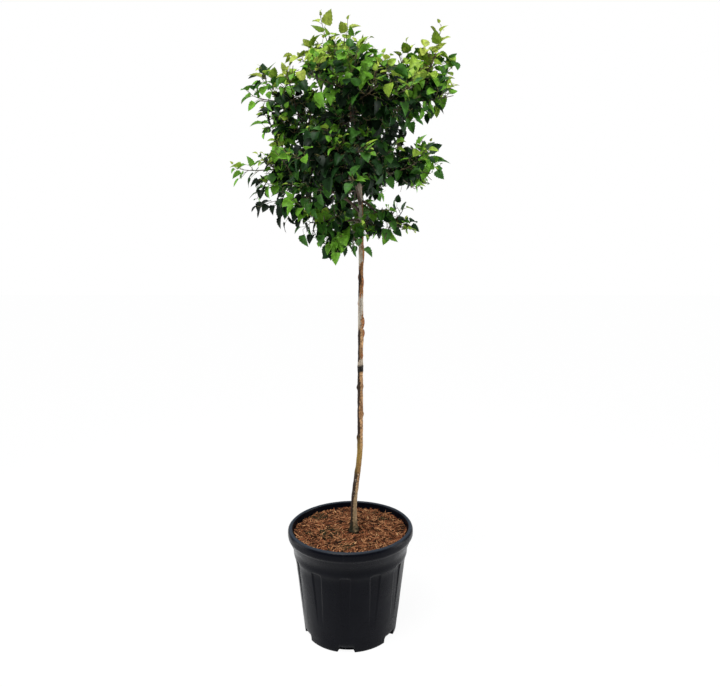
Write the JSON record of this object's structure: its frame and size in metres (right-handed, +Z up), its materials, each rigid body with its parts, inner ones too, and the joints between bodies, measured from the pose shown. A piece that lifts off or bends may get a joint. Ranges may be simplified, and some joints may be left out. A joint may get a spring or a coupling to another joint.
{
  "type": "potted standard birch",
  "caption": "Young birch grown as a standard: a round leafy crown on a tall bare stem, in a round black nursery pot filled with bark mulch.",
  "frame": {"origin": "centre of the pot's flat underside, where it stands", "axes": "+Z up; +Y away from the viewer in front; +X to that viewer's right"},
  "size_m": [0.5808, 0.5639, 1.5963],
  "materials": {
    "black_plastic": "moulded black plastic, satin, slightly scuffed",
    "bark_mulch": "loose shredded bark, dry, red-brown with paler chips",
    "birch_bark": "peeling papery bark, tan to orange-brown with cream patches",
    "birch_leaf": "soft green leaf, slightly glossy above"
  },
  "bodies": {
    "root": {"pot": "black_plastic", "soil": "bark_mulch", "trunk": "birch_bark", "bough_upper_right": "birch_bark", "bough_upper_left": "birch_bark", "bough_upper_front": "birch_bark", "bough_upper_back": "birch_bark", "bough_middle_left": "birch_bark", "bough_middle_right": "birch_bark", "bough_middle_front": "birch_bark", "bough_middle_back": "birch_bark", "bough_lower_left": "birch_bark", "bough_lower_right": "birch_bark", "bough_lower_back": "birch_bark", "foliage_top": "birch_leaf", "foliage_upper_right": "birch_leaf", "foliage_upper_left": "birch_leaf", "foliage_upper_front": "birch_leaf", "foliage_upper_back": "birch_leaf", "foliage_middle_left": "birch_leaf", "foliage_middle_right": "birch_leaf", "foliage_middle_front": "birch_leaf", "foliage_middle_back": "birch_leaf", "foliage_lower_left": "birch_leaf", "foliage_lower_right": "birch_leaf", "foliage_lower_back": "birch_leaf"}
  },
  "joints": []
}
